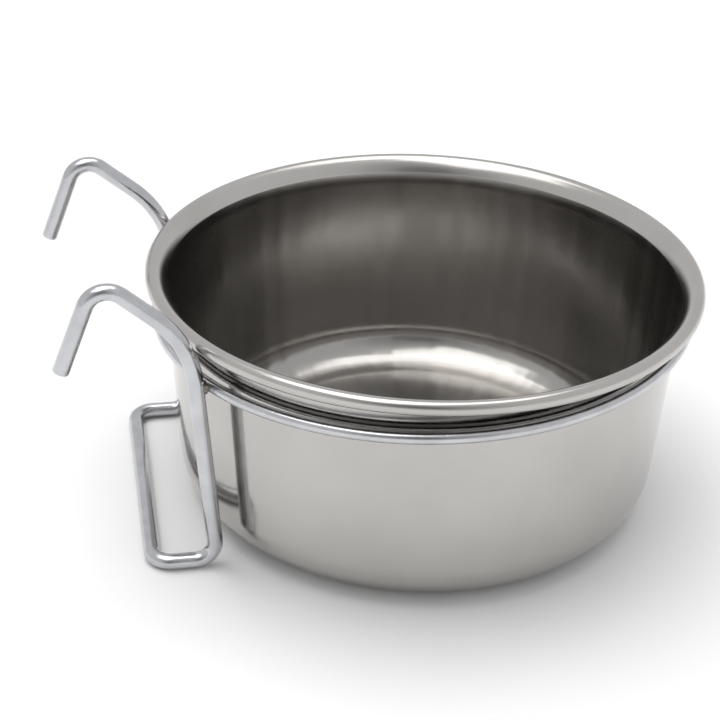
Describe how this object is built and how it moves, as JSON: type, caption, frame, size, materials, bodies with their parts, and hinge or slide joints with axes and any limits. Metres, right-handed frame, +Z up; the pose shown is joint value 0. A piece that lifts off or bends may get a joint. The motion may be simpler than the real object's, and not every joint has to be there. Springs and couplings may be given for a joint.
{
  "type": "hanging bowl feeder",
  "caption": "Round metal feeding bowl with a rolled rim that lifts out of a wire support ring carried by a bent-wire holder with cage hooks and a flat foot.",
  "frame": {"origin": "on the bowl's axis, at the level of the surface that the bowl and the foot stand on", "axes": "+Z up along the bowl's axis; +X away from the hooks; the two hooks lie at -Y and +Y"},
  "size_m": [0.1669, 0.142, 0.0802],
  "materials": {
    "bowl_steel": "polished stainless sheet",
    "plated_wire": "bright plated wire with small pits",
    "weld_metal": "heat-tinted weld"
  },
  "bodies": {
    "holder": {"hook_frame": "plated_wire", "support_ring": "plated_wire", "near_leg_weld": "weld_metal", "far_leg_weld": "weld_metal"},
    "bowl": {"bowl": "bowl_steel"}
  },
  "joints": [
    {"name": "bowl_lift", "type": "slide", "parent": "holder", "child": "bowl", "axis": [0, 0, 1], "range_m": [0, 0.09]}
  ]
}
